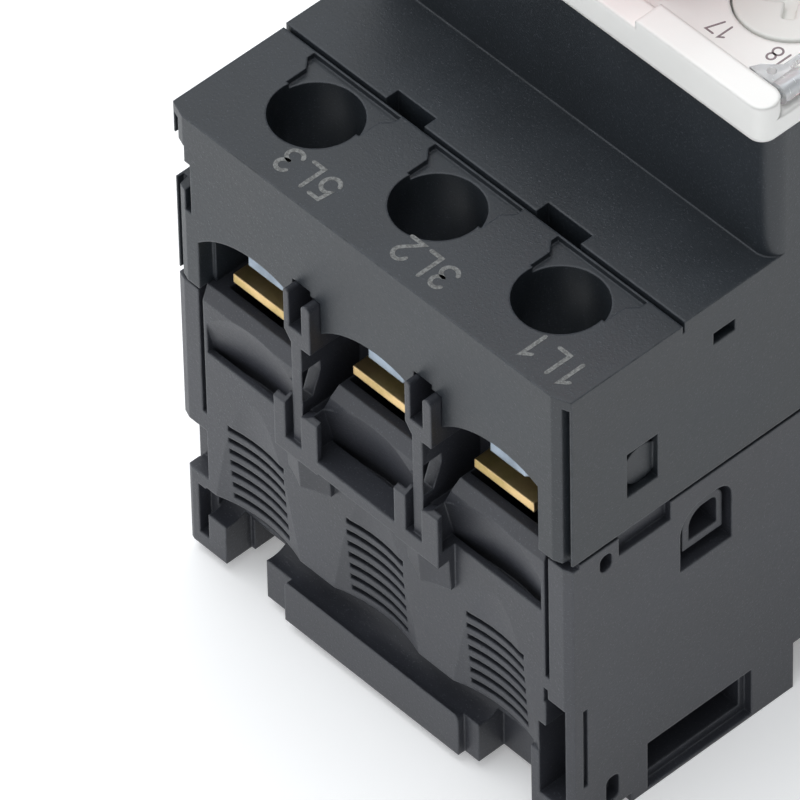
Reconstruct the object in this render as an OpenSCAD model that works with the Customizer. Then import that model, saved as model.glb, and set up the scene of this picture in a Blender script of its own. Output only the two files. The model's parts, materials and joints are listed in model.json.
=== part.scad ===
// Three-pole motor protection breaker, push-button type, for a 35 mm rail.
// Frame: rear face of the feet at z = 0, front towards +Z, line terminals at -Y,
// pole 1 at +X. Lengths are in millimetres.

/* [Housing] */
// Width across the three poles
body_w = 44.5; // [44.4:0.1:44.6]
// Length from the cover face of the line end to that of the load end
body_l = 86; // [85.8:0.1:86.4]
// Height of the seam between the base and the front housing
seam_z = 31.4; // [31.3:0.1:31.5]
// Height of the terminal blocks
block_z = 49.5; // [49.4:0.1:49.8]
// Height of the raised centre, under the front plate
centre_z = 63; // [62.9:0.1:63.2]
// Height of the red stop button's face
stop_z = 78.5; // [77:0.5:78.5]

/* [Poles and terminals] */
// Distance between neighbouring poles
pole_pitch = 13.66; // [13.6:0.02:13.7]
// Radius of the holes that a screwdriver goes down
access_r = 3.87; // [3.8:0.01:3.9]
// Distance from the end face to the axis of a terminal screw
screw_in = 7.65; // [7.5:0.05:7.8]
// Radius of the terminal screws' thread
thread_r = 2; // [1.9:0.05:2]

/* [Rail seat] */
// Half the length of the channel behind the breaker
channel_half = 18.85; // [18.8:0.05:19]
// Depth of the channel
channel_depth = 5.1; // [5:0.1:5.2]

/* [Controls] */
// Width of each push button
button_w = 16; // [15:0.5:16]
// Radius of the current-setting dial
dial_r = 4.55; // [4:0.05:4.6]

/* [Hidden] */
$fn = 48;
eps = 0.01;
charcoal = [0.25, 0.27, 0.30];
white = [0.92, 0.92, 0.90];
steel = [0.66, 0.69, 0.72];
brass = [0.85, 0.65, 0.35];
copper = [0.78, 0.45, 0.28];
moulded_black = [0.10, 0.10, 0.11];

half_w = body_w / 2;
half_l = body_l / 2;
// Poles 1, 2 and 3 from +X to -X
pole_x = [pole_pitch, 0, -pole_pitch];
barrier_x = [pole_pitch / 2, -pole_pitch / 2];
screw_y = half_l - screw_in;
// Screws that hold the two housings together, between the poles
screw_places = [for (x = barrier_x, y = [-27.2, 27.2]) [x, y]];

// Heights on the end faces
wall_back = 0.3;         // the base's end wall lies this far behind the cover face
vent_z0 = 7.6;
vent_pitch = 1.33;
vent_count = 8;
vent_h = 0.62;
vent_half = 3.25;
flange_h = 5.6;           // the rear flange between the feet
plate_z = 32.8;          // underside of the brass clamp plates
plate_t = 0.9;
saddle_z = 35.4;         // underside of a steel saddle with the screw half open
saddle_t = 1;
head_z = saddle_z + saddle_t + 0.1;
head_h = 3;

// Raised centre and front plate
centre_half = half_l - 21.4;
groove_y = half_l - 12.3;
plate_top_z = centre_z + 1.8;
ridge_top_z = centre_z + 3.5;
ridge_low_z = centre_z + 2.7; // beside the push buttons
ridge_half = centre_half + 1;
ridge_w = 2.7;
corner_r = 1.3;
cover_wall = 1.5;

// Controls
button_x = -0.8;
stop_y = -11;
start_y = 5.5;
button_len = 15;
start_z = stop_z - 2.5;
dial_x = 13.8;
dial_y = -11.2;
spring_seat_z = 50.1;
hinge_x = 21;
hinge_z = plate_top_z + 1;
hinge_r = 0.95;
hinge_pin_r = 0.45;
hinge_lugs = [-16.6, -8.2];

// ---------- helpers ----------

// A block between two corners
module block(x, y, z)
    translate([x[0], y[0], z[0]])
        cube([x[1] - x[0], y[1] - y[0], z[1] - z[0]]);

// An outline in X and Z, extruded between two values of Y
module along_y(y0, y1)
    translate([0, y1, 0]) rotate([90, 0, 0]) linear_extrude(y1 - y0) children();

// An outline in Y and Z, extruded between two values of X
module along_x(x0, x1)
    translate([x0, 0, 0]) rotate([90, 0, 90]) linear_extrude(x1 - x0) children();

module both_ends() {
    children();
    mirror([0, 1, 0]) children();
}

module both_sides() {
    children();
    mirror([1, 0, 0]) children();
}

// Y of a point that lies d behind the cover face of the line end
function in_y(d) = d - half_l;

// A rectangle with round corners, as an outline
module round_rect(x0, x1, y0, y1, r) {
    translate([x0 + r, y0]) square([x1 - x0 - 2 * r, y1 - y0]);
    translate([x0, y0 + r]) square([x1 - x0, y1 - y0 - 2 * r]);
    for (x = [x0 + r, x1 - r], y = [y0 + r, y1 - r])
        translate([x, y]) circle(r);
}

// A coil spring along Z: n turns of wire of radius w on a radius r, from z = 0 to z = h
module coil(r, w, h, n) {
    sides = 8;
    per_turn = 14;
    rings = n * per_turn;
    rise = (h - 2 * w) / rings;
    points = [
        for (i = [0:rings], k = [0:sides - 1])
            let (a = 360 * i / per_turn, b = 360 * k / sides)
            [(r + w * cos(b)) * cos(a), (r + w * cos(b)) * sin(a), w + rise * i + w * sin(b)]
    ];
    walls = [
        for (i = [0:rings - 1], k = [0:sides - 1])
            let (m = (k + 1) % sides)
            [i * sides + k, (i + 1) * sides + k, (i + 1) * sides + m, i * sides + m]
    ];
    ends = [[for (k = [0:sides - 1]) k], [for (k = [0:sides - 1]) rings * sides + sides - 1 - k]];
    polyhedron(points, concat(walls, ends));
}

// ---------- base housing ----------

// Fork between two poles: a barrier that splits into two fins at its top
module fork_outline() {
    translate([-0.65, 22]) square([1.1, 13.5]);
    polygon([[-1.4, 36.1], [-0.65, 35.1], [1.5, 35.1], [1.5, 36.7], [-1.4, 36.7]]);
    translate([-1.4, 36.2]) square([0.55, 4.1]);
    translate([-1.125, 40.3]) circle(0.275);
    translate([0.6, 36.2]) square([0.9, 3.45]);
    translate([1.05, 39.65]) circle(0.45);
}

// Post with two prongs that carries the fork's front edge
module post(x) {
    difference() {
        block([x - 2.45, x + 2.45], [in_y(-1.5), in_y(1)], [19.3, 28.7]);
        block([x - 1.2, x + 0.65], [in_y(-2), in_y(-0.3)], [24.3, 29]);
        // Sloping tops
        along_x(x - 3, x + 3)
            polygon([[in_y(0), 28.8], [in_y(-1.7), 28.8], [in_y(-1.7), 28.05]]);
        along_y(in_y(-2), in_y(1.1))
            polygon([[x + 0.6, 27.9], [x + 2.5, 28.7], [x + 2.5, 29], [x + 0.6, 29]]);
    }
}

// Material that the line end of the base has in front of its wall
module base_end_added() {
    for (x = barrier_x) {
        post(x);
        translate([x, 0, 0]) along_y(in_y(-1.1), in_y(5)) fork_outline();
    }
    // Bar between the posts, in front of the middle pole
    block([-pole_pitch / 2, pole_pitch / 2], [in_y(-1.5), in_y(0.5)], [22.9, 24.2]);
    // Rear flange
    along_y(in_y(-0.4), in_y(4)) round_rect(-10, 10, 0, flange_h, 0.8);
}

// Hollow that leads a wire up to its clamp, with a lip in front of its floor
module wire_scoop(x) {
    tilt = 13;
    r = 22;
    intersection() {
        translate([x, in_y(0.3) - r / cos(tilt), 30.4]) rotate([tilt, 0, 0])
            translate([0, 0, -20]) cylinder(h = 40, r = r, $fn = 96);
        union() {
            block([x - 5.3, x + 5.3], [in_y(-1), in_y(4)], [24.2, seam_z + 1]);
            block([x - 5.3, x + 5.3], [in_y(0.9), in_y(4)], [22.6, 24.3]);
        }
    }
}

// Shallow hollow with the vent slots
module vents(x) {
    r = 15;
    translate([x, in_y(wall_back) - r, 21.5]) rotate([3.4, 0, 0])
        translate([0, 0, -14.6]) cylinder(h = 15, r = r, $fn = 96);
    for (i = [0:vent_count - 1])
        block([x - vent_half, x + vent_half], [in_y(-1), in_y(3)],
              [vent_z0 + i * vent_pitch, vent_z0 + i * vent_pitch + vent_h]);
    block([x - vent_half - 0.5, x + vent_half + 0.5], [in_y(2.4), in_y(6)], [7, 18.6]);
}

// Flat that takes off an upright corner
module corner_facet(z0, z1)
    translate([0, 0, z0]) linear_extrude(z1 - z0)
        polygon([[20.6, in_y(-1)], [half_w + 1, in_y(-1)], [half_w + 1, in_y(0.96)],
                 [20.6, in_y(0)]]);

// What is cut from the line end of the base
module base_end_cut() {
    for (x = pole_x) {
        wire_scoop(x);
        vents(x);
        // Room for the end of the terminal screw, and for the wire above it
        block([x - 4.1, x + 4.1], [in_y(1.76), in_y(13.2)], [28, seam_z + 1]);
        block([x - 4.1, x + 4.1], [in_y(3.2), in_y(13.2)], [20.5, 28.1]);
    }
    // The wall leans back towards the lip
    along_x(-half_w + 2.45, half_w - 2.45)
        polygon([[in_y(-1), 29.1], [in_y(0), 29.1], [in_y(0.83), seam_z],
                 [in_y(0.83), seam_z + 1], [in_y(-1), seam_z + 1]]);
    // Gaps on both sides of each barrier
    for (x = barrier_x, s = [-1, 1]) {
        near = s > 0 ? 0.45 : 0.65;
        along_y(in_y(-0.5), in_y(5))
            polygon([[x + s * near, 27.7], [x + s * 1.2, 27.7], [x + s * 2, 29.6],
                     [x + s * 3, seam_z + 1], [x + s * near, seam_z + 1]]);
    }
    // Dark joints beside the outer walls
    for (s = [-1, 1])
        block([s * 19.55 - 0.25, s * 19.55 + 0.25], [in_y(-1), in_y(2)], [17, seam_z + 1]);
    // Valley under the vents, above the rear flange
    intersection() {
        translate([0, in_y(0.9), 7.6]) rotate([0, 90, 0]) cylinder(h = 40, r = 2.5, center = true);
        block([-19.8, 17.6], [in_y(-5), in_y(4)], [4, 8.2]);
    }
    // Open corners beside the rear flange
    block([-17.6, -12.8], [in_y(-1), in_y(3)], [-1, flange_h]);
    block([11.6, 17.6], [in_y(-1), in_y(3)], [-1, flange_h]);
    block([-17.2, -12.8], [in_y(2.9), in_y(8)], [-1, 4.4]);
    both_sides() corner_facet(-1, seam_z + 1);
    // Joint at the seam, wider at the corners
    both_sides() {
        block([half_w - 0.4, half_w + 1], [-half_l, 0.1], [seam_z - 0.35, seam_z + 1]);
        block([19.6, half_w + 1], [in_y(-1), in_y(1.3)], [seam_z - 0.7, seam_z + 1]);
    }
    // Corner notches
    block([-half_w - 1, -19.4], [in_y(-1), in_y(2)], [9.4, 15]);
    block([19.3, half_w - 0.75], [in_y(-1), in_y(3.2)], [3, 14.6]);
    block([18.5, 19.4], [in_y(-1), in_y(3.2)], [3, 11.3]);
    block([19.1, 19.6], [in_y(-1), in_y(1)], [14, 15.6]);
    // Slot in the left foot
    block([-20.7, -19.6], [in_y(-1), in_y(1.6)], [2.4, 8]);
    // Feet stand back from the corner
    block([-half_w - 1, half_w + 1], [in_y(-1), in_y(6.6)], [-1, 1]);
    block([-half_w - 1, -half_w + 0.45], [in_y(-1), in_y(2)], [-1, 9.4]);
}

// Outline with one straight side, as on the side recesses: a square foot and round shoulders
module arch_window(y0, y1, z0, z1, r_near, r_far) {
    difference() {
        translate([y0, z0]) square([y1 - y0, z1 - z0]);
        difference() {
            translate([y0 - 1, z1 - r_near]) square([r_near + 1, r_near + 1]);
            translate([y0 + r_near, z1 - r_near]) circle(r_near);
        }
        difference() {
            translate([y1 - r_far, z1 - r_far]) square([r_far + 1, r_far + 1]);
            translate([y1 - r_far, z1 - r_far]) circle(r_far);
        }
    }
}

// What is cut from the +X side of the base, near the line end
module base_side_cut() {
    deep = 1.6;
    out = half_w + 1;
    // D-shaped recess with a boss and a hole
    difference() {
        along_x(half_w - deep, out) arch_window(in_y(11.9), in_y(17.4), 22.4, 28.9, 2.7, 1.7);
        along_x(half_w - deep - 1, half_w - 0.5)
            arch_window(in_y(12.6), in_y(16.8), 23.8, 28.3, 2.1, 1.1);
    }
    along_x(half_w - 5.5, out) arch_window(in_y(13.26), in_y(16.25), 24.6, 27.6, 1.6, 0.7);
    // Two oval pockets
    for (p = [[3.4, 4.7, 28.4, 30.2], [3.9, 5.3, 1.8, 4.55]])
        along_x(half_w - 1.2, out) round_rect(in_y(p[0]), in_y(p[1]), p[2], p[3], 0.6);
    // Shallow notch at the seam
    block([half_w - 0.7, out], [in_y(5.4), in_y(10.9)], [29.1, seam_z + 1]);
    // Long slot for a side-mounted auxiliary block
    block([half_w - 4.6, out], [in_y(8.35), in_y(18.95)], [1.2, 5.45]);
    block([half_w - 0.8, out], [in_y(8.35), in_y(19.6)], [0.3, 5.45]);
    // Groove beside the corner
    block([half_w - 0.5, out], [in_y(1.5), in_y(2)], [5.5, 14.3]);
}

// Channel for the rail and the path of the clip
module rail_cut() {
    block([-half_w - 1, half_w + 1], [-channel_half, channel_half], [-1, channel_depth]);
    block([-8.3, 8.3], [channel_half - eps, half_l + 1], [-1, 4.6]);
    block([-2.6, 2.6], [25, 36], [4.5, 6.4]);
}

// One hollow for each pole, with ways across for the carrier and the trip slider
module base_cavity() {
    difference() {
        for (x = pole_x)
            block([x - 6.1, x + 6.1], [-28.4, 28.4], [7.2, seam_z + 1]);
        for (p = screw_places)
            translate([p[0], p[1], 0]) cylinder(h = 40, r = 2.7);
    }
    block([-19.7, 19.7], [-12.8, -7.2], [14, seam_z + 1]);
    block([-19.7, 19.7], [19, 24.5], [27, seam_z + 1]);
}

module base_housing() color(charcoal) {
    difference() {
        union() {
            block([-half_w, half_w], [in_y(wall_back), -in_y(wall_back)], [0, seam_z]);
            both_ends() base_end_added();
        }
        both_ends() base_end_cut();
        both_ends() both_sides() base_side_cut();
        rail_cut();
        base_cavity();
        for (p = screw_places) {
            translate([p[0], p[1], -1]) cylinder(h = 40, r = 1.6);
            translate([p[0], p[1], -1]) cylinder(h = 9, r = 3);
        }
    }
    // Fixed hooks that grip the rail
    for (s = [-1, 1])
        along_x(s * 8 - 3.5, s * 8 + 3.5)
            polygon([[-channel_half - 1, 1.2], [-16.9, 2], [-16.3, 2.6], [-16.3, 3.5],
                     [-channel_half - 1, 3.5]]);
}

// ---------- front housing ----------

// Opening for a wire under a low arch, which leans to one side
module wire_opening(x) {
    top = 39.35;
    r = 9.5;
    intersection() {
        translate([x - 5.6, 30]) square([11, top - 30]);
        translate([x + 1.2, top - r]) circle(r, $fn = 96);
    }
}

// What is cut from the line end of the front housing
module front_end_cut() {
    for (x = pole_x) {
        along_y(in_y(-1), in_y(1.5)) wire_opening(x);
        // Chamber with its clamp
        block([x - 5.3, x + 5.3], [in_y(1.4), in_y(13.4)], [30, 41]);
        // Way for the conductor out of the chamber
        block([x - 3.6, x + 3.6], [in_y(13), in_y(16.5)], [30, 34.4]);
        translate([x, -screw_y, 40]) cylinder(h = 12, r = access_r, $fn = 64);
        // Recess from the hole to the groove
        along_recess(x);
    }
    // Notches that take the base's forks
    for (x = barrier_x) {
        block([x - 1.5, x + 0.5], [in_y(-1), in_y(6)], [30, 40.7]);
        block([x + 0.4, x + 1.6], [in_y(-1), in_y(6)], [30, 40.2]);
    }
    both_sides() {
        corner_facet(seam_z - 1, block_z + 1);
        // Upright groove beside the corner
        translate([0, 0, seam_z - 1]) linear_extrude(block_z - seam_z)
            polygon([[half_w - 0.9, in_y(0)], [half_w - 0.1, in_y(0)],
                     [half_w - 0.25, in_y(1.25)], [half_w - 0.65, in_y(1.25)]]);
    }
    // Groove between the terminal block and the step
    block([-half_w - 1, half_w + 1], [-groove_y - 0.13, -groove_y + 0.13], [block_z - 0.8, 60]);
    // Clip holes for a marker strip
    for (x = [[-10.9, -6.6], [5.9, 10.8]])
        block(x, [in_y(12.2), in_y(13.7)], [block_z - 7.5, 60]);
}

module along_recess(x) {
    translate([0, 0, block_z - 0.55]) linear_extrude(2)
        polygon([[x - 4.1, in_y(8.3)], [x + 4.1, in_y(8.3)], [x + 4.1, in_y(10.4)],
                 [x + 4.9, in_y(11.3)], [x + 4.9, in_y(12)], [x - 4.9, in_y(12)],
                 [x - 4.9, in_y(11.3)], [x - 4.1, in_y(10.4)]]);
}

// What is cut from the +X side of the front housing, near the line end
module front_side_cut() {
    out = half_w + 1;
    block([half_w - 2.6, out], [in_y(6.3), in_y(9.57)], [34.9, 39.65]);
    block([half_w - 1, out], [in_y(15.4), in_y(17.7)], [45.2, 46.4]);
}

// Step and raised centre in profile
module front_profile() {
    polygon([
        [-half_l, seam_z], [-half_l, block_z], [-groove_y, block_z],
        [-groove_y, block_z + 0.3], [-centre_half, block_z + 0.3], [-centre_half, centre_z],
        [centre_half, centre_z], [centre_half, block_z + 0.3], [groove_y, block_z + 0.3],
        [groove_y, block_z], [half_l, block_z], [half_l, seam_z]
    ]);
}

module front_housing() color(charcoal) difference() {
    union() {
        difference() {
            along_x(-half_w, half_w) front_profile();
            // Corners of the raised centre
            both_ends() both_sides()
                translate([0, 0, block_z + 0.3]) linear_extrude(30)
                    difference() {
                        translate([half_w - 1.6, -centre_half - 1]) square([3, 2.6]);
                        translate([half_w - 1.6, -centre_half + 1.6]) circle(1.6);
                    }
            // Hollow of the raised centre and of the steps
            block([-20.6, 20.6], [-centre_half + cover_wall, centre_half - cover_wall],
                  [seam_z - 1, centre_z - cover_wall]);
            block([-20.6, 20.6], [-28, 28], [seam_z - 1, block_z - 1.6]);
        }
        // Round lugs inside the side windows
        both_ends() both_sides()
            translate([half_w - 2.2, in_y(8.3), 36.9]) rotate([0, 90, 0])
                cylinder(h = 1.6, r = 1.9);
        // Posts that take the housing screws
        for (p = screw_places)
            translate([p[0], p[1], seam_z]) cylinder(h = block_z - 1 - seam_z, r = 2.7);
    }
    both_ends() front_end_cut();
    // Notch and slot at one corner of the line end
    block([-half_w - 1, -20.5], [in_y(-1), in_y(3)], [41.3, 46.3]);
    block([-20.6, -19.9], [in_y(-1), in_y(1.5)], [39.2, 44.6]);
    both_ends() both_sides() difference() {
        front_side_cut();
        translate([half_w - 2.7, in_y(8.3), 36.9]) rotate([0, 90, 0])
            cylinder(h = 2.1, r = 1.9);
    }
    for (p = screw_places)
        translate([p[0], p[1], seam_z - 1]) cylinder(h = 9, r = 1.25);
    // Ways through the front for the controls
    for (y = [stop_y, start_y])
        translate([0, 0, centre_z - 3]) linear_extrude(5) button_outline(y, 0.3);
    translate([dial_x, dial_y, centre_z - 3]) cylinder(h = 5, r = 2.4);
    block([10.7, 19.4], [5.4, 9.2], [centre_z - 3, centre_z + 1]);
}

// ---------- front plate ----------

module button_outline(y, gap) {
    round_rect(button_x - button_w / 2 - gap, button_x + button_w / 2 + gap,
               y - button_len / 2 - gap, y + button_len / 2 + gap, 1.4 + gap);
}

// Plate with a ridge along each end, lower in front of the push buttons
module ridged_plate() difference() {
    translate([0, 0, centre_z]) linear_extrude(ridge_top_z - centre_z)
        round_rect(-half_w, half_w, -ridge_half, ridge_half, corner_r);
    block([-half_w - 1, half_w + 1], [ridge_w - ridge_half, ridge_half - ridge_w],
          [plate_top_z, ridge_top_z + 1]);
    both_ends() block([button_x - 9.3, button_x + 9.3], [-ridge_half - 1, 0],
                      [ridge_low_z, ridge_top_z + 1]);
    // Round inner corners of the ridges
    both_ends() both_sides()
        translate([half_w - corner_r, ridge_w - ridge_half - corner_r, plate_top_z])
            linear_extrude(4) difference() {
                square([corner_r + 1, corner_r + 0.1]);
                circle(corner_r);
            }
}

module front_plate() color(white) difference() {
    union() {
        ridged_plate();
        // Lugs of the dial cover's hinge
        for (y = hinge_lugs) {
            translate([hinge_x, y, hinge_z]) rotate([90, 0, 0])
                cylinder(h = 1.2, r = hinge_r, center = true);
            block([hinge_x - hinge_r, hinge_x + hinge_r], [y - 0.6, y + 0.6],
                  [plate_top_z - 0.5, hinge_z]);
        }
    }
    translate([0, 0, centre_z - 1]) linear_extrude(10) button_outline(stop_y, 0.25);
    translate([0, 0, centre_z - 1]) linear_extrude(10) button_outline(start_y, 0.25);
    translate([dial_x, dial_y, centre_z + 0.6]) cylinder(h = 10, r = dial_r + 0.2);
    translate([dial_x, dial_y, centre_z - 1]) cylinder(h = 10, r = 2.4);
    // Slot of the test slide
    block([11.4, 17.2], [5.9, 8.7], [centre_z - 1, centre_z + 5]);
    // Bore for the hinge pin
    translate([hinge_x, -12.6, hinge_z]) rotate([90, 0, 0])
        cylinder(h = 13.5, r = hinge_pin_r, center = true);
}

// ---------- fasteners ----------

module housing_screws() color(steel)
    for (p = screw_places) translate([p[0], p[1], 0]) {
        difference() {
            translate([0, 0, 5.6]) cylinder(h = 2.4, r = 2.8);
            for (a = [0, 90])
                translate([0, 0, 5.5]) rotate([0, 0, a]) translate([-1.8, -0.35, 0])
                    cube([3.6, 0.7, 1.2]);
        }
        translate([0, 0, 7.9]) cylinder(h = seam_z, r = 1.25);
    }

// ---------- rail clip ----------

module din_clip() color(moulded_black) difference() {
    union() {
        block([-8, 8], [19.2, half_l + 1.2], [1, 4.4]);
        along_x(-8, 8)
            polygon([[19.3, 1], [17.6, 1.4], [16.3, 2.6], [16.3, 3.5], [19.3, 3.5]]);
    }
    // Screwdriver slot in the tab
    block([-2.5, 2.5], [half_l - 2.2, half_l - 0.6], [0, 5]);
    // Seat of the spring
    block([-2.4, 2.4], [25.2, 36], [2.6, 5]);
}

// The clip's spring lies along Y between the clip and the base
module clip_spring() color(steel)
    translate([0, 35.4, 4.6]) rotate([90, 0, 0]) coil(1.3, 0.3, 9.6, 7);

// ---------- controls ----------

// Push button: a cap on a stem, with a seat for its spring
module push_button(y, top_z) {
    difference() {
        union() {
            translate([0, 0, centre_z + 0.9]) linear_extrude(top_z - centre_z - 0.9)
                button_outline(y, 0);
            block([button_x - 5.5, button_x + 5.5], [y - 5, y + 5], [62.1, centre_z + 1]);
            translate([button_x, y, spring_seat_z + 0.9]) cylinder(h = 12, r = 1.3);
        }
        // Hollow from below, beside the web that carries the stem
        block([button_x - 6.4, button_x + 6.4], [y - 5.9, y + 5.9],
              [centre_z + 2, top_z - 1.6]);
        // Dished face
        translate([button_x, y, top_z + 44.2]) rotate([90, 0, 0])
            cylinder(h = button_len - 2.4, r = 45, center = true, $fn = 192);
    }
}

module stop_button() color("red") push_button(stop_y, stop_z);
module start_button() color([0.05, 0.35, 0.2]) push_button(start_y, start_z);

module button_spring(y) color(steel)
    translate([button_x, y, spring_seat_z + 0.1]) coil(2.5, 0.35, 11.8, 5);

module current_dial() color(white) difference() {
    union() {
        translate([dial_x, dial_y, centre_z + 0.7]) cylinder(h = 1.3, r = dial_r);
        translate([dial_x, dial_y, 54]) cylinder(h = centre_z + 1 - 54, r = 2.3);
    }
    for (a = [38, 128])
        translate([dial_x, dial_y, centre_z + 1.2]) rotate([0, 0, a])
            translate([-2.3, -0.5, 0]) cube([4.6, 1, 2]);
}

// Clear sealing flap beside the dial, on a hinge along the edge of the plate
module dial_cover() color([0.8, 0.85, 0.9, 0.4]) difference() {
    union() {
        translate([0, 0, plate_top_z + 0.15]) linear_extrude(hinge_z + 0.35 - plate_top_z)
            polygon([[17.8, -19.6], [18.2, -18.8], [19.4, -17.6], [19.4, -5.8],
                     [19.85, -5.8], [19.85, -19.6]]);
        for (y = [[-19.7, -17.4], [-15.8, -9], [-7.4, -5.8]]) {
            translate([hinge_x, y[1], hinge_z]) rotate([90, 0, 0])
                cylinder(h = y[1] - y[0], r = hinge_r);
            block([19.8, hinge_x], [max(y[0], -19.6), y[1]], [plate_top_z + 0.15, hinge_z + 0.5]);
        }
    }
    translate([hinge_x, 0, hinge_z]) rotate([90, 0, 0])
        cylinder(h = 60, r = hinge_pin_r + 0.05, center = true);
    // Hole for a lead seal
    translate([19.3, -18.7, plate_top_z]) cylinder(h = 5, r = 0.4);
}

module cover_pin() color(steel)
    translate([hinge_x, -12.6, hinge_z]) rotate([90, 0, 0])
        cylinder(h = 13.4, r = hinge_pin_r, center = true);

module test_slide() color([0.9, 0.45, 0.1]) difference() {
    union() {
        block([11, 16.5], [5.7, 8.9], [centre_z - 1.2, centre_z - 0.1]);
        block([11.7, 14.4], [6.1, 8.5], [centre_z - 0.2, plate_top_z - 0.2]);
    }
    block([12.6, 13.5], [6.8, 7.8], [plate_top_z - 1.4, plate_top_z + 1]);
}

// ---------- terminals ----------

// Brass conductor of a terminal: a tapped clamp plate and a tongue into the breaker
module terminal(x, end) color(brass) mirror([0, end == "load" ? 1 : 0, 0])
    difference() {
        union() {
            block([x - 3.3, x + 3.3], [in_y(1.5), in_y(12.6)], [plate_z, plate_z + plate_t]);
            if (end == "line") {
                block([x - 2.6, x + 2.6], [in_y(12.5), -15], [plate_z, plate_z + plate_t]);
                translate([x, -16.8, plate_z - 0.6]) cylinder(h = 0.7, r = 1.6);
            } else {
                block([x - 2.6, x + 2.6], [in_y(12.5), -26.4], [plate_z, plate_z + plate_t]);
                block([x - 2.6, x + 2.6], [-27.3, -26.4], [9.4, plate_z + plate_t]);
            }
        }
        translate([x, -screw_y, plate_z - 1]) cylinder(h = 3, r = thread_r + 0.05);
    }

module terminal_screw(x, end) color(steel) mirror([0, end == "load" ? 1 : 0, 0])
    translate([x, -screw_y, 0]) difference() {
        union() {
            translate([0, 0, head_z]) cylinder(h = head_h, r = 3.3);
            translate([0, 0, 29.8]) cylinder(h = head_z - 29.7, r = thread_r);
        }
        for (a = [45, 135])
            translate([0, 0, head_z + 1.2]) rotate([0, 0, a])
                translate([-2.3, -0.5, 0]) cube([4.6, 1, 3]);
        translate([-3.4, -0.3, head_z + 2]) cube([6.8, 0.6, 3]);
    }

// Steel saddle under the screw's head; two ribs grip the wire
module saddle(x, end) color(steel) mirror([0, end == "load" ? 1 : 0, 0])
    difference() {
        union() {
            translate([x, 0, saddle_z]) linear_extrude(saddle_t)
                polygon([[-1.9, in_y(1.9)], [1.9, in_y(1.9)], [3.6, in_y(3.6)],
                         [3.6, in_y(10.7)], [1.9, in_y(12.4)], [-1.9, in_y(12.4)],
                         [-3.6, in_y(10.7)], [-3.6, in_y(3.6)]]);
            for (d = [2.9, 11.4])
                block([x - 2.3, x + 2.3], [in_y(d - 0.4), in_y(d + 0.4)],
                      [saddle_z - 0.3, saddle_z + 0.1]);
        }
        translate([x, -screw_y, saddle_z - 1]) cylinder(h = 4, r = thread_r + 0.1);
    }

// ---------- switching ----------

module moving_contact(x) color(copper) {
    block([x - 2.2, x + 2.2], [-18.6, -1.4], [28.4, 29.4]);
    for (y = [-16.8, -3.2])
        translate([x, y, 29.3]) cylinder(h = 0.6, r = 1.5);
}

module contact_spring(x) color(steel)
    translate([x, -10, 21.8]) coil(1.8, 0.3, 6.5, 4);

// Bar across the poles that lifts the three bridges
module contact_carrier() color(moulded_black) {
    difference() {
        block([-19, 19], [-12, -8], [19.2, 22.5]);
        for (x = pole_x)
            translate([x, -10, 21.7]) cylinder(h = 2, r = 2.3);
    }
    for (x = [-17.8, 4.2]) {
        block([x, x + 1.6], [-11, -9], [22.4, 44]);
    }
    block([-17.8, 5.8], [-11, -9], [42.2, 44.4]);
}

module arc_chute(x) color(steel)
    for (i = [0:5])
        difference() {
            block([x - 3.9, x + 3.9], [-27.6, -19.6], [10 + i * 3, 11 + i * 3]);
            block([x - 1.2, x + 1.2], [-23, -19], [9 + i * 3, 12 + i * 3]);
        }

module mechanism_frame() color(steel) difference() {
    union() {
        for (s = [-1, 1])
            block([s * 9.6 - 0.6, s * 9.6 + 0.6], [-7, 12], [38.5, spring_seat_z]);
        block([-10.2, 10.2], [11, 12], [38.5, spring_seat_z]);
        block([-10.2, 10.2], [-15.5, 12], [spring_seat_z - 0.9, spring_seat_z]);
    }
    for (y = [stop_y, start_y])
        translate([button_x, y, 40]) cylinder(h = 20, r = 1.6);
    translate([0, 0, 44]) rotate([0, 90, 0]) cylinder(h = 30, r = 1.05, center = true);
}

module lever_pin() color(steel)
    translate([0, 0, 44]) rotate([0, 90, 0]) cylinder(h = 21.6, r = 1.03, center = true);

// Rocker: the start button tips one arm down, and the other lifts the contact carrier
module latch_lever() color(moulded_black) difference() {
    union() {
        translate([0, 0, 44]) rotate([0, 90, 0]) cylinder(h = 15.6, r = 2.4, center = true);
        block([-7.8, 7.8], [0, 7.6], [45, 46.6]);
        block([-3.9, 3.9], [-11.6, 0], [40.2, 41.8]);
        block([-3.9, 3.9], [-2, 0], [40.2, 43]);
    }
    translate([0, 0, 44]) rotate([0, 90, 0]) cylinder(h = 40, r = 1.1, center = true);
}

// ---------- overload and short-circuit releases ----------

coil_y = 7;

module magnet_coil(x) color(copper) {
    translate([x, coil_y, 9]) rotate_extrude()
        translate([3.1, 0]) square([2.4, 13.2]);
    block([x - 1.5, x + 1.5], [coil_y + 5, 17.6], [20, 21]);
    block([x - 2.4, x + 2.4], [-4.8, coil_y - 3.6], [plate_z, plate_z + plate_t]);
    translate([x, -3.2, plate_z - 0.6]) cylinder(h = 0.7, r = 1.5);
    block([x - 1, x + 1], [coil_y - 4.5, coil_y - 3.6], [22, plate_z + plate_t]);
}

module trip_plunger(x) color(steel) {
    translate([x, coil_y, 8]) cylinder(h = 15, r = 3);
    translate([x, coil_y, 22.9]) cylinder(h = 10.3, r = 0.9);
}

module bimetal(x) color(steel) {
    block([x - 2.6, x + 2.6], [19.6, 20.6], [9.4, 30.2]);
    block([x - 1.5, x + 1.5], [17.5, 19.7], [20, 21]);
    block([x - 2.6, x + 2.6], [20.5, 26.4], [9.4, 10.4]);
}

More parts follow.
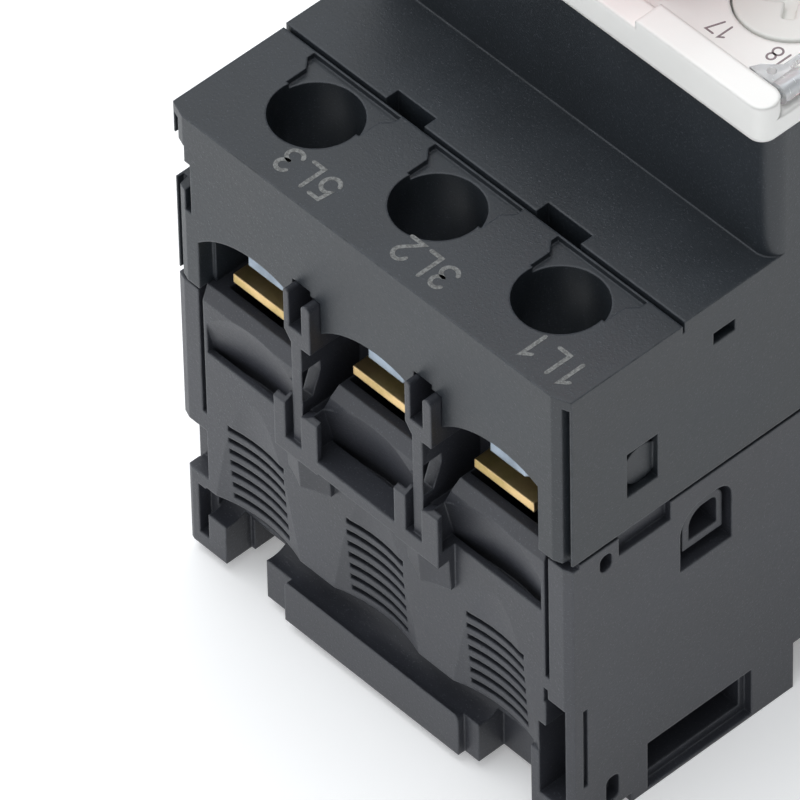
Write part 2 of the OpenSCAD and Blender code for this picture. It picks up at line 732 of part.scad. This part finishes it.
// Bar that the bimetals push
module trip_slider() color(moulded_black) {
    block([-19, 19], [21.2, 23], [28.2, 31.4]);
    block([3.4, 5.6], [12.9, 23], [30.9, 32.2]);
    block([3.4, 5.6], [12.9, 14.2], [30.9, 43]);
    // Nose that meets the trip bar's arm
    block([3.4, 5.6], [14, 15.8], [41.6, 43]);
}

trip_axis = [17, 36];

module trip_bar() color(moulded_black) {
    translate([0, trip_axis[0], trip_axis[1]]) rotate([0, 90, 0])
        cylinder(h = 38, r = 1.4, center = true);
    for (x = pole_x)
        block([x - 1, x + 1], [coil_y - 1.5, trip_axis[0]], [35.5, 36.5]);
    block([3.3, 5.7], [trip_axis[0] - 0.9, trip_axis[0] + 0.9], [trip_axis[1], 44]);
}

// ---------- drawing ----------

base_housing();
front_housing();
front_plate();
housing_screws();
din_clip();
clip_spring();
stop_button();
button_spring(stop_y);  // stop_spring
start_button();
button_spring(start_y);  // start_spring
current_dial();
dial_cover();
cover_pin();
test_slide();
mechanism_frame();
lever_pin();
latch_lever();
contact_carrier();
trip_bar();
trip_slider();
for (i = [0:2]) {
    x = pole_x[i];
    line = str(2 * i + 1);
    load = str(2 * i + 2);
    pole = str(i + 1);
    terminal(x, "line");
    terminal(x, "load");
    terminal_screw(x, "line");
    terminal_screw(x, "load");
    saddle(x, "line");
    saddle(x, "load");
    moving_contact(x);
    contact_spring(x);
    arc_chute(x);
    magnet_coil(x);
    trip_plunger(x);
    bimetal(x);
}
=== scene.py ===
"""Looks of a three-pole motor protection breaker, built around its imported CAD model.

Metres throughout, in the CAD frame: +Z is the breaker's front, -Y its line terminals, and
pole 1 is at +X. Print reads with its top towards -Y.
"""

import json
import math

import bmesh
import bpy
from mathutils import Matrix, Vector


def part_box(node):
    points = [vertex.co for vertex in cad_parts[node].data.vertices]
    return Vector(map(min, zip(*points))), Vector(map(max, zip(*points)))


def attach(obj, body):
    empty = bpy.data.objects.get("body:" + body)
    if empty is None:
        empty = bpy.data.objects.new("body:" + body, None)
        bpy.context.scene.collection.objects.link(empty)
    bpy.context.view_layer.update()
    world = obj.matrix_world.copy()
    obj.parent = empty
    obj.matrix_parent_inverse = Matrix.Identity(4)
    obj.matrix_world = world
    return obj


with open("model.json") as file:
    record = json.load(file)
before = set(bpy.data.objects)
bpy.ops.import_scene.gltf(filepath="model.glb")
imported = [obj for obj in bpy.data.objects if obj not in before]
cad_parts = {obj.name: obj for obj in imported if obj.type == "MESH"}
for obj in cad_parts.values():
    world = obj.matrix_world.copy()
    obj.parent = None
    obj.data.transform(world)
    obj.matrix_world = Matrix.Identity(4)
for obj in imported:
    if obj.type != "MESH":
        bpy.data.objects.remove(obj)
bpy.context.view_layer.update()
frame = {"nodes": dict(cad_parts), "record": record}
MM = 0.001

# Room light: strength low down and overhead, and the slope between them
WALL_LIGHT = 0.14
CEILING_LIGHT = 1.0
WALL_TOP = (0.05, 0.8)

# Millimetres
BLOCK_TOP = 49.5  # top of the terminal blocks
PLATE_DROP = 0.2  # from the plate's top down to the test slide
DISH_DEPTH = 0.8  # of the faces of the push buttons
MARK_SIZE = 2.5
MARK_INSET = 2.7  # from the end face to the middle of a mark
FIGURE_SIZE = 1.5
FIGURE_RING = 6.3  # radius of the ring of figures round the dial
PRINT_HEIGHT = 0.015

scene = bpy.context.scene


# ---------- camera, floor and light ----------


def aim(thing, place, target, roll=0.0):
    """Put a camera or light at place, looking at target, turned by roll degrees."""
    thing.location = place
    turn = (Vector(target) - Vector(place)).to_track_quat("-Z", "Y").to_matrix()
    turn = turn @ Matrix.Rotation(math.radians(roll), 3, "Z")
    thing.rotation_euler = turn.to_euler()


def add_camera():
    lens = bpy.data.cameras.new("camera")
    lens.sensor_width = 36
    lens.lens = 598.0
    lens.clip_start = 0.05
    lens.clip_end = 20
    camera = bpy.data.objects.new("camera", lens)
    scene.collection.objects.link(camera)
    aim(camera, (0.5244, -0.51218, 0.77344), (-0.004907, -0.035261, 0.024081), -1.32)
    scene.camera = camera


def add_softbox(name, place, target, size, power, colour=(1, 1, 1)):
    lamp = bpy.data.lights.new(name, "AREA")
    lamp.shape = "RECTANGLE"
    lamp.size, lamp.size_y = size
    lamp.energy = power
    lamp.color = colour
    box = bpy.data.objects.new(name, lamp)
    scene.collection.objects.link(box)
    aim(box, place, target)


def add_room():
    """A pale floor, and light from all round."""
    half = 3.0
    mesh = bpy.data.meshes.new("floor")
    corners = [(-half, -half), (half, -half), (half, half), (-half, half)]
    mesh.from_pydata([(x, y, -0.00002) for x, y in corners], [], [(0, 1, 2, 3)])
    floor = bpy.data.objects.new("floor", mesh)
    scene.collection.objects.link(floor)
    paint = Finish("floor_paper", Roughness=0.9, Emission_Strength=0.25)
    paint.shader.inputs["Emission Color"].default_value = (1, 1, 1, 1)
    at = paint.place()
    shade = paint.noise(at, 9.0, detail=2)
    paint.feed("Base Color", paint.blend(shade, (0.92, 0.92, 0.92), (0.95, 0.95, 0.95)))
    mesh.materials.append(paint.material)

    world = bpy.data.worlds.new("room")
    world.use_nodes = True
    nodes, links = world.node_tree.nodes, world.node_tree.links
    sky = nodes["Background"]
    sky.inputs["Color"].default_value = (0.95, 0.975, 1.0, 1)
    # A white ceiling over darker walls, the darkest at +X and +Y
    height = nodes.new("ShaderNodeVectorMath")
    height.operation = "DOT_PRODUCT"
    height.inputs[1].default_value = (-0.35, -0.45, 0.82)
    links.new(nodes.new("ShaderNodeTexCoord").outputs["Generated"], height.inputs[0])
    rise = nodes.new("ShaderNodeMapRange")
    rise.inputs["From Min"].default_value = WALL_TOP[0]
    rise.inputs["From Max"].default_value = WALL_TOP[1]
    rise.inputs["To Min"].default_value = WALL_LIGHT
    rise.inputs["To Max"].default_value = CEILING_LIGHT
    links.new(height.outputs["Value"], rise.inputs["Value"])
    links.new(rise.outputs[0], sky.inputs["Strength"])
    scene.world = world
    middle = (0, 0, 0.04)
    add_softbox("overhead", (-0.25, 0.1, 1.1), middle, (1.2, 1.2), 7.0, (0.96, 0.98, 1.0))
    scene.view_settings.view_transform = "Standard"


# ---------- materials ----------


class Shade:
    """A value, colour or vector inside one material. Arithmetic on it adds Math nodes."""

    def __init__(self, finish, socket):
        self.finish = finish
        self.socket = socket

    def maths(self, operation, *values):
        inputs = dict(enumerate(values))
        return self.finish.add("Math", {"operation": operation}, inputs)

    def __add__(self, other):
        return self.maths("ADD", self, other)

    def __radd__(self, other):
        return self.maths("ADD", other, self)

    def __sub__(self, other):
        return self.maths("SUBTRACT", self, other)

    def __rsub__(self, other):
        return self.maths("SUBTRACT", other, self)

    def __mul__(self, other):
        return self.maths("MULTIPLY", self, other)

    def __rmul__(self, other):
        return self.maths("MULTIPLY", other, self)

    def sine(self):
        return self.maths("SINE", self)

    def band(self, low, high):
        """0 below low and 1 above high, with a smooth step between."""
        return self.finish.add(
            "MapRange",
            {"interpolation_type": "SMOOTHSTEP"},
            {"Value": self, "From Min": low, "From Max": high},
        )


class Finish:
    """A material in the making, around one Principled shader."""

    def __init__(self, name, **fixed):
        self.material = bpy.data.materials.new(name)
        self.material.use_nodes = True
        self.tree = self.material.node_tree
        self.tree.nodes.clear()
        output = self.tree.nodes.new("ShaderNodeOutputMaterial")
        self.shader = self.tree.nodes.new("ShaderNodeBsdfPrincipled")
        self.tree.links.new(self.shader.outputs[0], output.inputs["Surface"])
        self.rounded = None
        for name, value in fixed.items():
            self.shader.inputs[name.replace("_", " ")].default_value = value

    def add(self, kind, settings=None, inputs=None, out=0):
        """Add a node: its settings first, then its inputs, each a number or a Shade."""
        node = self.tree.nodes.new("ShaderNode" + kind)
        for name, value in (settings or {}).items():
            setattr(node, name, value)
        for name, value in (inputs or {}).items():
            if isinstance(value, Shade):
                self.tree.links.new(value.socket, node.inputs[name])
            else:
                node.inputs[name].default_value = value
        return Shade(self, node.outputs[out])

    def feed(self, name, value):
        self.tree.links.new(value.socket, self.shader.inputs[name])

    def place(self, stretch=(1, 1, 1)):
        at = self.add("TexCoord", out="Object")
        if stretch == (1, 1, 1):
            return at
        return self.add("Mapping", None, {"Vector": at, "Scale": stretch})

    def axis(self, at, letter):
        return self.add("SeparateXYZ", None, {"Vector": at}, out=letter)

    def noise(self, at, scale, detail=3.0, roughness=0.55):
        inputs = {"Vector": at, "Scale": scale, "Detail": detail, "Roughness": roughness}
        return self.add("TexNoise", None, inputs)

    def blend(self, share, first, second):
        """A colour between two: the first where share is 0."""
        first = (*first, 1) if isinstance(first, tuple) else first
        second = (*second, 1) if isinstance(second, tuple) else second
        return self.add("Mix", {"data_type": "RGBA"}, {0: share, 6: first, 7: second}, out=2)

    def edges(self, reach):
        """1 on edges and corners, 0 on flat faces; also rounds the edges for bump."""
        self.rounded = self.add("Bevel", {"samples": 6}, {"Radius": reach})
        normal = self.add("NewGeometry", out="Normal")
        inputs = {0: self.rounded, 1: normal}
        same = self.add("VectorMath", {"operation": "DOT_PRODUCT"}, inputs, out="Value")
        return (1 - same).band(0.01, 0.22)

    def bump(self, height, depth, strength=1.0):
        """Raise the surface by height, from 0 to 1, times depth in metres."""
        inputs = {"Height": height, "Distance": depth, "Strength": strength}
        if self.rounded:
            inputs["Normal"] = self.rounded
        self.feed("Normal", self.add("Bump", None, inputs))


def moulded(name, colour, edge_tone, rough, grain=1.0, **fixed):
    """Matte moulded plastic with an eroded grain, mottling, and paler edges that are partly wear
    and partly a painted highlight.
    """
    f = Finish(name, **fixed)
    at = f.place()
    mottle = f.noise(at, 120, detail=4)
    grains = f.noise(at, 3800, detail=2, roughness=0.6)
    specks = f.noise(at, 6500, detail=1).band(0.62, 0.75)
    # Paler edges: partly wear, partly a painted highlight where light catches the rounded corners
    edge = f.edges(0.25 * MM) * f.noise(at, 900).band(0.25, 0.6)
    dark = tuple(c * 0.86 for c in colour)
    light = tuple(c * 1.12 for c in colour)
    body = f.blend(mottle.band(0.3, 0.7), dark, light)
    body = f.blend(specks * 0.35, body, edge_tone)
    f.feed("Base Color", f.blend(edge * 0.55, body, edge_tone))
    f.feed("Roughness", rough + (mottle - 0.5) * 0.14 + (grains - 0.5) * 0.16 - edge * 0.06)
    f.bump(grains * 0.8 + specks * 0.4, 0.022 * MM * grain)
    return f.material


def gloss(name, colour, edge_tone, rough, rounding=0.3 * MM, **fixed):
    """Smooth moulded plastic, with faint flow marks and handling wear."""
    f = Finish(name, **fixed)
    at = f.place()
    flow = f.noise(at, 160, detail=3)
    fine = f.noise(at, 5200, detail=2)
    wear = f.edges(rounding) * f.noise(at, 1100).band(0.4, 0.62)
    body = f.blend(flow.band(0.3, 0.7), tuple(c * 0.97 for c in colour), colour)
    f.feed("Base Color", f.blend(wear * 0.4, body, edge_tone))
    f.feed("Roughness", rough + (flow - 0.5) * 0.1 + wear * 0.15 + (fine - 0.5) * 0.08)
    f.bump(fine, 0.006 * MM)
    return f.material


def rolled(name, colour, tarnish, rough, along=(1, 1, 1), spots=0.5, sheared=None):
    """Sheet metal: marks along the rolling direction, tarnish, bright sheared edges."""
    f = Finish(name, Metallic=1.0)
    streaks = f.noise(f.place(along), 2600, detail=4, roughness=0.65)
    at = f.place()
    cloud = f.noise(at, 340, detail=4)
    pits = f.noise(at, 5200, detail=1).band(0.66, 0.76)
    edge = f.edges(0.2 * MM)
    stain = cloud.band(0.35, 0.72) * spots
    body = f.blend(stain, colour, tarnish)
    bright = sheared or tuple(min(1.0, c * 1.15) for c in colour)
    f.feed("Base Color", f.blend(edge * (0.55 + pits * 0.4), body, bright))
    f.feed("Roughness", rough + streaks * 0.2 + stain * 0.14 - edge * 0.12)
    f.bump(streaks * 0.7 + pits * -0.5, 0.01 * MM)
    return f.material


def wound(name, colour, pitch):
    """Enamelled wire, wound round Z with that pitch."""
    f = Finish(name, Metallic=0.9, Coat_Weight=0.5, Coat_Roughness=0.15)
    at = f.place()
    turns = (f.axis(at, "Z") * (2 * math.pi / pitch)).sine() * 0.5 + 0.5
    cloud = f.noise(at, 500)
    f.feed("Base Color", f.blend(turns, tuple(c * 0.45 for c in colour), colour))
    f.feed("Roughness", 0.25 + cloud * 0.2)
    f.bump(turns, 0.2 * MM)
    return f.material


def clear(name, tint):
    """Clear moulded plastic, with fine scratches."""
    f = Finish(name, Transmission_Weight=0.7, IOR=1.45)
    at = f.place((1, 6, 1))
    scratches = f.noise(at, 900, detail=5, roughness=0.7)
    haze = f.noise(f.place(), 300)
    f.feed("Base Color", f.blend(haze, tint, (1, 1, 1)))
    f.feed("Roughness", 0.16 + scratches.band(0.55, 0.7) * 0.16)
    f.bump(haze, 0.02 * MM)
    return f.material


def ink(name, colour, patchy):
    """Printed or laser-marked lines, a little uneven."""
    f = Finish(name)
    at = f.place()
    gaps = f.noise(at, 5200, detail=3, roughness=0.7).band(0.4, 0.6) * patchy
    f.feed("Base Color", f.blend(gaps, colour, tuple(c * 0.45 for c in colour)))
    f.feed("Roughness", 0.55 + gaps * 0.2)
    return f.material


add_camera()
add_room()

FINISHES = {
    "charcoal_base": moulded("charcoal_base", (0.031, 0.033, 0.041), (0.11, 0.12, 0.14), 0.42),
    "charcoal_front": moulded("charcoal_front", (0.018, 0.0225, 0.028), (0.09, 0.10, 0.12), 0.42),
    "white_plate": gloss(
        "white_plate", (0.93, 0.92, 0.89), (0.86, 0.85, 0.81), 0.36, rounding=0.5 * MM
    ),
    "red_button": gloss(
        "red_button", (0.5, 0.006, 0.014), (0.75, 0.12, 0.12), 0.28, rounding=0.5 * MM
    ),
    "green_button": gloss(
        "green_button", (0.006, 0.12, 0.045), (0.1, 0.25, 0.16), 0.3, rounding=0.5 * MM
    ),
    "white_dial": gloss("white_dial", (0.82, 0.82, 0.78), (0.62, 0.6, 0.54), 0.38),
    "clear_cover": clear("clear_cover", (0.93, 0.95, 0.97)),
    "orange_slide": gloss("orange_slide", (0.75, 0.16, 0.02), (0.8, 0.4, 0.2), 0.35),
    "brass_terminal": rolled(
        "brass_terminal", (0.86, 0.62, 0.30), (0.48, 0.38, 0.13), 0.28, along=(0.12, 1, 1),
        spots=0.75, sheared=(0.98, 0.70, 0.46)
    ),
    "zinc_screw": rolled("zinc_screw", (0.72, 0.76, 0.82), (0.42, 0.45, 0.5), 0.2),
    "zinc_saddle": rolled("zinc_saddle", (0.40, 0.47, 0.55), (0.2, 0.24, 0.28), 0.3, spots=0.8),
    "copper": rolled("copper", (0.8, 0.42, 0.26), (0.42, 0.2, 0.12), 0.24),
    "black_moulding": moulded(
        "black_moulding", (0.012, 0.012, 0.013), (0.06, 0.06, 0.065), 0.4, grain=0.6
    ),
    "spring_steel": rolled("spring_steel", (0.55, 0.56, 0.58), (0.3, 0.3, 0.31), 0.2),
    "plated_steel": rolled("plated_steel", (0.62, 0.64, 0.66), (0.42, 0.43, 0.44), 0.28),
}
winding = wound("coil_winding", (0.75, 0.36, 0.2), 0.9 * MM)


# ---------- CAD nodes ----------


def soften(part, width):
    """Round a CAD node's sharp edges with modifiers; its mesh stays as packed."""
    weld = part.modifiers.new("weld", "WELD")
    weld.merge_threshold = 1e-6
    flat = part.modifiers.new("flat_faces", "DECIMATE")
    flat.decimate_type = "DISSOLVE"
    flat.angle_limit = math.radians(0.6)
    bevel = part.modifiers.new("rounding", "BEVEL")
    bevel.width = width
    bevel.segments = 2
    bevel.limit_method = "ANGLE"
    bevel.angle_limit = math.radians(35)
    bevel.use_clamp_overlap = False
    bevel.miter_outer = "MITER_ARC"
    shading = part.modifiers.new("shading", "WEIGHTED_NORMAL")
    shading.keep_sharp = False
    for face in part.data.polygons:
        face.use_smooth = True


slots = {s["node"]: s["material_slot"] for s in frame["record"]["subparts"]}
for node, part in frame["nodes"].items():
    part.data.materials.clear()
    part.data.materials.append(
        winding if node.startswith("magnet_coil") else FINISHES[slots[node]]
    )

for node, width in (("current_dial", 0.15), ("din_clip", 0.3), ("test_slide", 0.15)):
    soften(frame["nodes"][node], width * MM)


# ---------- marks ----------


def arc(middle, radii, start, stop, steps=14):
    """Points along part of an ellipse, angles in degrees."""
    turns = [math.radians(start + (stop - start) * i / steps) for i in range(steps + 1)]
    return [
        (middle[0] + radii[0] * math.cos(t), middle[1] + radii[1] * math.sin(t)) for t in turns
    ]


SIGN_WIDTH = 0.56

# Strokes of each sign, in a box SIGN_WIDTH wide and 1 high
SIGNS = {
    "0": [arc((0.28, 0.5), (0.27, 0.49), 90, 450, 28)],
    "1": [[(0.1, 0.8), (0.34, 1.0), (0.34, 0.0)]],
    "2": [arc((0.28, 0.73), (0.26, 0.27), 170, -38) + [(0.02, 0.0), (0.56, 0.0)]],
    "3": [
        arc((0.27, 0.76), (0.24, 0.24), 155, -90),
        arc((0.27, 0.26), (0.28, 0.26), 90, -160),
    ],
    "4": [[(0.42, 0.0), (0.42, 1.0), (0.0, 0.3), (0.58, 0.3)]],
    "5": [[(0.5, 1.0), (0.1, 1.0), (0.05, 0.55)] + arc((0.26, 0.32), (0.29, 0.32), 115, -155)],
    "6": [[(0.44, 1.0), (0.07, 0.44)], arc((0.28, 0.28), (0.26, 0.28), 145, 505, 28)],
    "7": [[(0.02, 1.0), (0.54, 1.0), (0.18, 0.0)]],
    "8": [
        arc((0.28, 0.76), (0.22, 0.24), -90, 270, 24),
        arc((0.28, 0.27), (0.27, 0.27), 90, 450, 24),
    ],
    "I": [[(0.28, 0.0), (0.28, 1.0)]],
    "L": [[(0.06, 1.0), (0.06, 0.0), (0.52, 0.0)]],
    "T": [[(0.0, 1.0), (0.56, 1.0)], [(0.28, 1.0), (0.28, 0.0)]],
}


def add_stroke(mesh, points, width, height):
    """Raise one stroke with round ends over z = 0: a flat top and slanting flanks."""
    closed = (Vector(points[0]) - Vector(points[-1])).length < 1e-6
    points = [Vector(p) for p in (points[:-1] if closed else points)]
    count = len(points)
    rims = []
    for i, point in enumerate(points):
        back = points[i - 1] if closed or i else None
        ahead = points[(i + 1) % count] if closed or i < count - 1 else None
        first = (point - back).normalized() if back is not None else None
        second = (ahead - point).normalized() if ahead is not None else None
        run = ((first or second) + (second or first)).normalized()
        side = Vector((-run.y, run.x)) * width / 2
        if first is not None and second is not None:
            side /= max(0.45, run.dot(first))
        rims.append((point + side, point - side))
    if not closed:
        for place, run in ((0, points[0] - points[1]), (-1, points[-1] - points[-2])):
            run = run.normalized() * width / 2
            tip = points[place] + run
            across = Vector((-run.y, run.x)) * (0.45 if place else -0.45)
            caps = (tip + across, tip - across)
            if place == 0:
                rims.insert(0, caps)
            else:
                rims.append(caps)
    slant = 1 + height / width
    rows = []
    for left, right in rims:
        middle = (left + right) / 2
        row = [
            (middle + (left - middle) * slant, 0), (left, height),
            (right, height), (middle + (right - middle) * slant, 0),
        ]
        rows.append([mesh.verts.new((v.x, v.y, z)) for v, z in row])
    for i in range(len(rows) if closed else len(rows) - 1):
        here, there = rows[i], rows[(i + 1) % len(rows)]
        for k in range(3):
            mesh.faces.new((here[k], there[k], there[k + 1], here[k + 1]))
    if not closed:
        mesh.faces.new(rows[0][::-1])
        mesh.faces.new(rows[-1])


def add_marks(name, strokes, width, height, spot, angle, body, material):
    """A piece of thin raised strokes, drawn in millimetres in the plane of spot.

    With angle 0 its right is +X and its top is +Y.
    """
    mesh = bmesh.new()
    for points in strokes:
        add_stroke(mesh, [(x * MM, y * MM) for x, y in points], width * MM, height * MM)
    bmesh.ops.recalc_face_normals(mesh, faces=mesh.faces)
    turn = Matrix.Rotation(math.radians(angle), 4, "Z")
    mesh.transform(Matrix.Translation(Vector(spot) * MM) @ turn)
    data = bpy.data.meshes.new(name)
    mesh.to_mesh(data)
    mesh.free()
    data.materials.append(material)
    piece = bpy.data.objects.new(name, data)
    scene.collection.objects.link(piece)
    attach(piece, body)


def lettering(text, size, gap=0.26):
    """Strokes of a line of signs, centred on the origin."""
    step = (SIGN_WIDTH + gap) * size
    start = -(step * len(text) - gap * size) / 2
    return [
        [(start + i * step + x * size, (y - 0.5) * size) for x, y in stroke]
        for i, sign in enumerate(text)
        for stroke in SIGNS[sign]
    ]


grey_print = ink("grey_print", (0.2, 0.205, 0.2), 0.9)
dark_print = ink("dark_print", (0.27, 0.22, 0.23), 0.3)
pale_print = ink("pale_print", (0.8, 0.8, 0.78), 0.5)


def middle_of(node):
    """Middle of a CAD node's box, in millimetres."""
    low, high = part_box(node)
    return [(a + b) / 2 / MM for a, b in zip(low, high)]


line_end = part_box("front_housing")[0][1] / MM
for k, (line, load, shift) in enumerate(
    (("1L1", "2T1", 4.4), ("3L2", "4T2", 3.9), ("5L3", "6T3", 4.4))
):
    hole_x = middle_of("line_screw_%d" % (2 * k + 1))[0]
    for mark, y in ((line, line_end + MARK_INSET), (load, -line_end - MARK_INSET)):
        add_marks("mark_" + mark, lettering(mark, MARK_SIZE, 0.27), 0.36, 0.02,
                  (hole_x + shift, y, BLOCK_TOP), 180,
                  "housing", grey_print)

# Scale round the dial, its pointer, and the signs on the buttons
dial = middle_of("current_dial")
dial_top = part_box("current_dial")[1][2] / MM
plate_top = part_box("test_slide")[1][2] / MM + PLATE_DROP
for k in range(6):
    a = math.radians(-53 - 50 * k)
    spot = (dial[0] + FIGURE_RING * math.cos(a), dial[1] + FIGURE_RING * math.sin(a), plate_top)
    figure = str(18 - k)
    add_marks("dial_figure_" + figure, lettering(figure, FIGURE_SIZE, 0.12), 0.17, PRINT_HEIGHT,
              spot, 180, "housing", dark_print)
add_marks("dial_pointer", [[(2.75, 0), (3.9, 0)], [(3.3, 0.35), (3.9, 0), (3.3, -0.35)]], 0.22,
          PRINT_HEIGHT, (dial[0], dial[1], dial_top), -20, "dial", dark_print)
for body, sign, slot in (("stop", "0", "red_button"), ("start", "I", "green_button")):
    x, y, _ = middle_of(body + "_button")
    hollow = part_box(body + "_button")[1][2] / MM - DISH_DEPTH
    add_marks(body + "_sign", lettering(sign, 3.0), 0.42, 0.03, (x, y, hollow), 180, body,
              pale_print)
